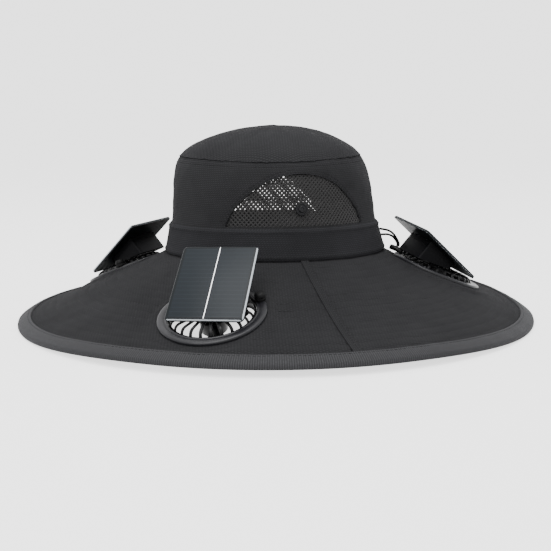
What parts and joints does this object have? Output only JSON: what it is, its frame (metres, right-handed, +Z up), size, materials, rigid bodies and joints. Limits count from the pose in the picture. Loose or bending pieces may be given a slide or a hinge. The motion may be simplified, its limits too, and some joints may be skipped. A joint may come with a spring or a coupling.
{
  "type": "solar fan hat",
  "caption": "Wide-brimmed cloth sun hat with net windows in its crown and small solar fans set in its brim, each under a tilted panel.",
  "frame": {"origin": "on the crown's axis, in the plane that the rim rests on", "axes": "+Z up along the crown, -Y towards the front fan, +X to the right seen from the front fan"},
  "size_m": [0.45, 0.45, 0.1663],
  "materials": {
    "cloth": "matt cotton twill",
    "band_cloth": "matt cotton twill",
    "tape": "matt cotton tape",
    "net": "matt polyester mesh",
    "stud_metal": "semi-gloss black paint",
    "flange_plastic": "satin moulded plastic",
    "black_plastic": "satin moulded plastic",
    "motor_can": "satin black paint",
    "box_plastic": "satin moulded plastic",
    "panel_resin": "clear resin over dark cells",
    "lug_rubber": "matt rubber",
    "lead_sleeve": "matt sleeve"
  },
  "bodies": {
    "hat": {"crown_tip": "cloth", "crown_wall": "cloth", "hat_band": "band_cloth", "brim": "cloth", "brim_binding": "tape", "window_net_near": "net", "window_net_far": "net", "snap_stud_near": "stud_metal", "snap_stud_far": "stud_metal", "flange_front": "flange_plastic", "back_ring_front": "black_plastic", "guard_front": "black_plastic", "motor_front": "motor_can", "battery_box_front": "box_plastic", "solar_panel_front": "panel_resin", "cable_lug_front": "lug_rubber", "flange_right": "flange_plastic", "back_ring_right": "black_plastic", "guard_right": "black_plastic", "motor_right": "motor_can", "battery_box_right": "box_plastic", "solar_panel_right": "panel_resin", "cable_lug_right": "lug_rubber", "flange_left": "flange_plastic", "back_ring_left": "black_plastic", "guard_left": "black_plastic", "motor_left": "motor_can", "battery_box_left": "box_plastic", "solar_panel_left": "panel_resin", "cable_lug_left": "lug_rubber", "lead_plug": "black_plastic", "lead_tail": "lead_sleeve", "lead_wire_upper": "lead_sleeve", "lead_wire_lower": "lead_sleeve"},
    "impeller_front": {"impeller_front": "black_plastic"},
    "impeller_right": {"impeller_right": "black_plastic"},
    "impeller_left": {"impeller_left": "black_plastic"}
  },
  "joints": [
    {"name": "impeller_front_spin", "type": "hinge", "parent": "hat", "child": "impeller_front", "pos_m": [0, -0.16223, 0.0279], "axis": [0, -0.3502, 0.9367], "continuous": true},
    {"name": "impeller_right_spin", "type": "hinge", "parent": "hat", "child": "impeller_right", "pos_m": [0.13842, 0.03969, 0.03552], "axis": [0.3601, 0.1033, 0.9272], "continuous": true},
    {"name": "impeller_left_spin", "type": "hinge", "parent": "hat", "child": "impeller_left", "pos_m": [-0.14894, 0.01172, 0.03254], "axis": [-0.3735, 0.0294, 0.9272], "continuous": true}
  ]
}
